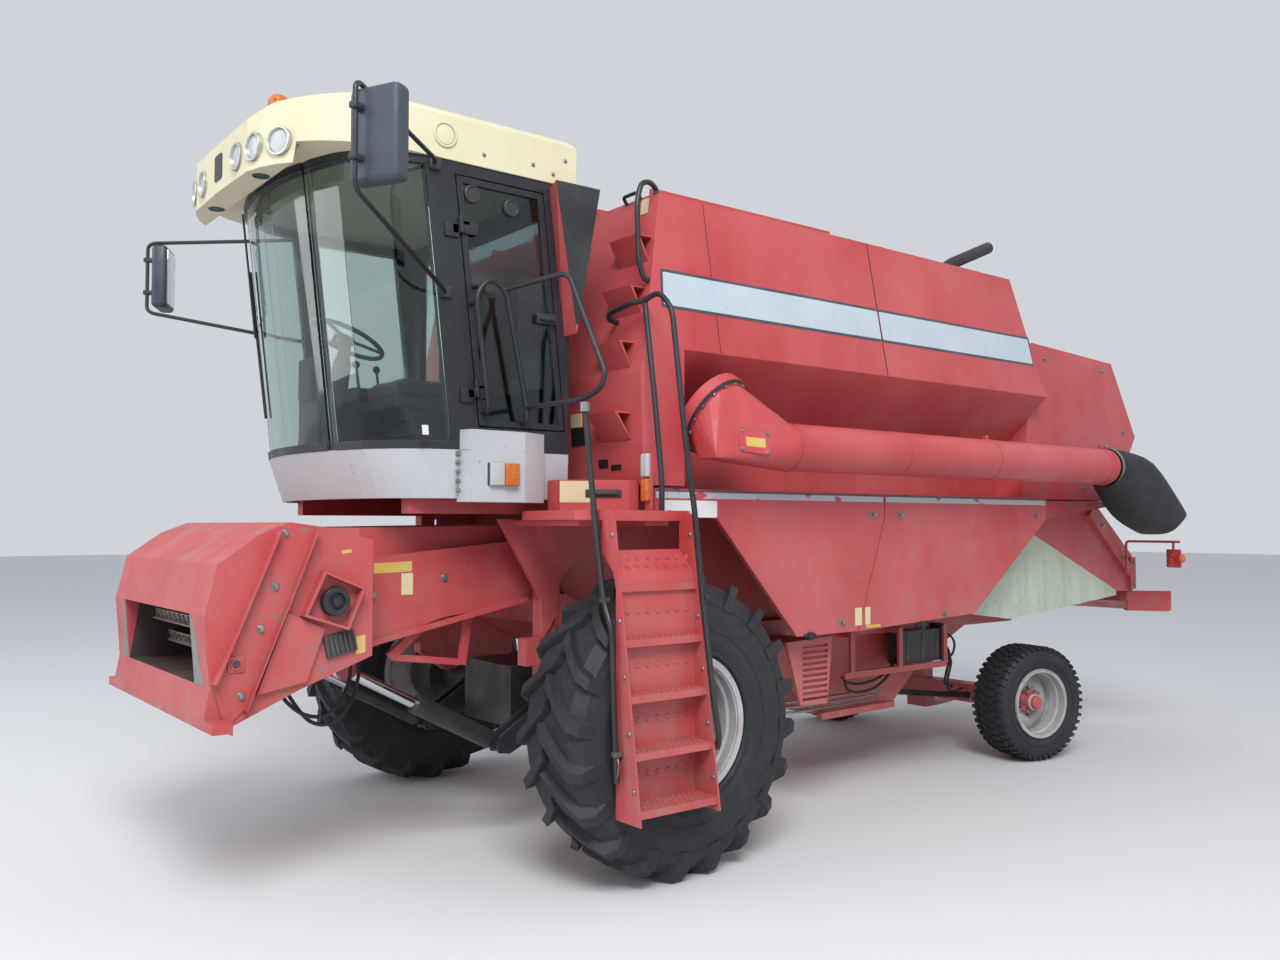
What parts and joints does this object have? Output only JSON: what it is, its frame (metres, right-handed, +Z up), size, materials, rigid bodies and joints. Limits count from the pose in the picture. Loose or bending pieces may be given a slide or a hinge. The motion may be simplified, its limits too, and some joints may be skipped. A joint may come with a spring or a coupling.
{
  "type": "combine harvester",
  "caption": "Self-propelled combine harvester with cab, grain tank, swing-out unloading tube, lifting feeder house and rear-wheel steering.",
  "frame": {"origin": "ground under the middle of the machine, on the centre plane", "axes": "+X forward, +Y to the machine's left, +Z up"},
  "size_m": [7.4825, 3.4174, 3.8984],
  "materials": {
    "red_paint": "satin, sun-faded red",
    "dark_paint": "satin dark",
    "grey_paint": "satin light grey",
    "cream_plastic": "matt cream",
    "tyre": "matt black rubber",
    "rubber": "matt black rubber",
    "glass": "tinted clear",
    "cloth": "pale canvas",
    "seat_cloth": "dark woven",
    "steel": "worn bare steel",
    "iron": "dark cast iron",
    "lamp": "clear lens"
  },
  "bodies": {
    "chassis": {"main_frame": "red_paint", "threshing_body": "red_paint", "grain_tank": "red_paint", "engine_hood": "red_paint", "engine": "iron", "exhaust": "dark_paint", "rear_hood": "red_paint", "straw_curtain": "cloth", "spreader": "red_paint", "front_axle": "dark_paint", "rear_axle": "red_paint", "cab_floor": "grey_paint", "cab_frame": "dark_paint", "cab_glass": "glass", "cab_roof": "cream_plastic", "lamps": "lamp", "seat": "seat_cloth", "controls": "dark_paint", "mirrors": "dark_paint", "side_sign": "red_paint", "platform": "red_paint", "ladder": "red_paint", "handrails": "dark_paint", "side_grille": "red_paint", "under_frame": "dark_paint"},
    "front_wheel_left": {"front_rim_left": "grey_paint", "front_tyre_left": "tyre"},
    "front_wheel_right": {"front_rim_right": "grey_paint", "front_tyre_right": "tyre"},
    "steer_left": {"knuckle_left": "dark_paint"},
    "steer_right": {"knuckle_right": "dark_paint"},
    "tie_rod": {"tie_rod": "dark_paint"},
    "rear_wheel_left": {"rear_rim_left": "grey_paint", "rear_tyre_left": "tyre"},
    "rear_wheel_right": {"rear_rim_right": "grey_paint", "rear_tyre_right": "tyre"},
    "feeder": {"feeder_house": "red_paint", "feeder_mouth": "red_paint", "feeder_chain": "steel"},
    "lift_barrel_left": {"lift_barrel_left": "dark_paint"},
    "lift_barrel_right": {"lift_barrel_right": "dark_paint"},
    "lift_rod_left": {"lift_rod_left": "steel"},
    "lift_rod_right": {"lift_rod_right": "steel"},
    "door": {"cab_door": "dark_paint", "door_glass": "glass", "door_rails": "dark_paint"},
    "lid_left": {"tank_lid_left": "red_paint"},
    "lid_right": {"tank_lid_right": "red_paint"},
    "shield_front_left": {"shield_front_left": "red_paint"},
    "shield_rear_left": {"shield_rear_left": "red_paint"},
    "shield_front_right": {"shield_front_right": "red_paint"},
    "shield_rear_right": {"shield_rear_right": "red_paint"},
    "unloader": {"auger_tube": "red_paint", "auger_spout": "rubber"}
  },
  "joints": [
    {"name": "front_wheel_left_roll", "type": "hinge", "parent": "chassis", "child": "front_wheel_left", "pos_m": [1.708, 1.315, 0.725], "axis": [0, 1, 0], "continuous": true},
    {"name": "front_wheel_right_roll", "type": "hinge", "parent": "chassis", "child": "front_wheel_right", "pos_m": [1.708, -1.315, 0.725], "axis": [0, 1, 0], "continuous": true},
    {"name": "steer_left_turn", "type": "hinge", "parent": "chassis", "child": "steer_left", "pos_m": [-2.032, 0.76, 0.408], "axis": [0, 0, 1], "range_deg": [-23, 47]},
    {"name": "rear_wheel_left_roll", "type": "hinge", "parent": "steer_left", "child": "rear_wheel_left", "pos_m": [-1.98626, 0.97519, 0.408], "axis": [0.2079, 0.9781, 0], "continuous": true},
    {"name": "steer_right_turn", "type": "hinge", "parent": "chassis", "child": "steer_right", "pos_m": [-2.032, -0.76, 0.408], "axis": [0, 0, 1], "range_deg": [-23, 47]},
    {"name": "rear_wheel_right_roll", "type": "hinge", "parent": "steer_right", "child": "rear_wheel_right", "pos_m": [-2.07774, -0.97519, 0.408], "axis": [0.2079, 0.9781, 0], "continuous": true},
    {"name": "tie_rod_swing", "type": "hinge", "parent": "steer_left", "child": "tie_rod", "pos_m": [-2.21785, 0.7995, 0.408], "axis": [0, 0, 1], "range_deg": [-47, 23]},
    {"name": "feeder_lift", "type": "hinge", "parent": "chassis", "child": "feeder", "pos_m": [1.848, 0, 1.52], "axis": [0, 1, 0], "range_deg": [-4, 20]},
    {"name": "lift_barrel_left_swing", "type": "hinge", "parent": "chassis", "child": "lift_barrel_left", "pos_m": [2.108, 0.42, 0.52], "axis": [0, 1, 0], "range_deg": [-3.5, 17.2]},
    {"name": "lift_rod_left_slide", "type": "slide", "parent": "lift_barrel_left", "child": "lift_rod_left", "axis": [0.8819, 0, 0.4714], "range_m": [-0.358, 0.073]},
    {"name": "lift_barrel_right_swing", "type": "hinge", "parent": "chassis", "child": "lift_barrel_right", "pos_m": [2.108, -0.42, 0.52], "axis": [0, 1, 0], "range_deg": [-3.5, 17.2]},
    {"name": "lift_rod_right_slide", "type": "slide", "parent": "lift_barrel_right", "child": "lift_rod_right", "axis": [0.8819, 0, 0.4714], "range_m": [-0.358, 0.073]},
    {"name": "door_swing", "type": "hinge", "parent": "chassis", "child": "door", "pos_m": [2.56702, 0.894, 2.7542], "axis": [-0.1132, 0, -0.9936], "range_deg": [0, 80]},
    {"name": "lid_left_open", "type": "hinge", "parent": "chassis", "child": "lid_left", "pos_m": [0.908, 1.096, 3.42], "axis": [-1, 0, 0], "range_deg": [0, 100]},
    {"name": "shield_front_left_open", "type": "hinge", "parent": "chassis", "child": "shield_front_left", "pos_m": [0.708, 1.208, 1.856], "axis": [1, 0, 0], "range_deg": [0, 80]},
    {"name": "shield_rear_left_open", "type": "hinge", "parent": "chassis", "child": "shield_rear_left", "pos_m": [-1.092, 1.208, 1.856], "axis": [1, 0, 0], "range_deg": [0, 80]},
    {"name": "lid_right_open", "type": "hinge", "parent": "chassis", "child": "lid_right", "pos_m": [0.908, -1.096, 3.42], "axis": [1, 0, 0], "range_deg": [0, 100]},
    {"name": "shield_front_right_open", "type": "hinge", "parent": "chassis", "child": "shield_front_right", "pos_m": [0.708, -1.208, 1.856], "axis": [-1, 0, 0], "range_deg": [0, 80]},
    {"name": "shield_rear_right_open", "type": "hinge", "parent": "chassis", "child": "shield_rear_right", "pos_m": [-1.092, -1.208, 1.856], "axis": [-1, 0, 0], "range_deg": [0, 80]},
    {"name": "unloader_swing", "type": "hinge", "parent": "chassis", "child": "unloader", "pos_m": [1.268, 1.223, 2.258], "axis": [-0.243, 0.773, -0.586], "range_deg": [0, 90]}
  ],
  "couplings": [
    {"joint": "steer_right_turn", "follows": "steer_left_turn", "ratio": 1},
    {"joint": "tie_rod_swing", "follows": "steer_left_turn", "ratio": -1},
    {"joint": "lift_barrel_left_swing", "follows": "feeder_lift", "ratio": 0.8579},
    {"joint": "lift_rod_left_slide", "follows": "feeder_lift", "m_per_rad": -1.0221},
    {"joint": "lift_barrel_right_swing", "follows": "feeder_lift", "ratio": 0.8579},
    {"joint": "lift_rod_right_slide", "follows": "feeder_lift", "m_per_rad": -1.0221}
  ]
}
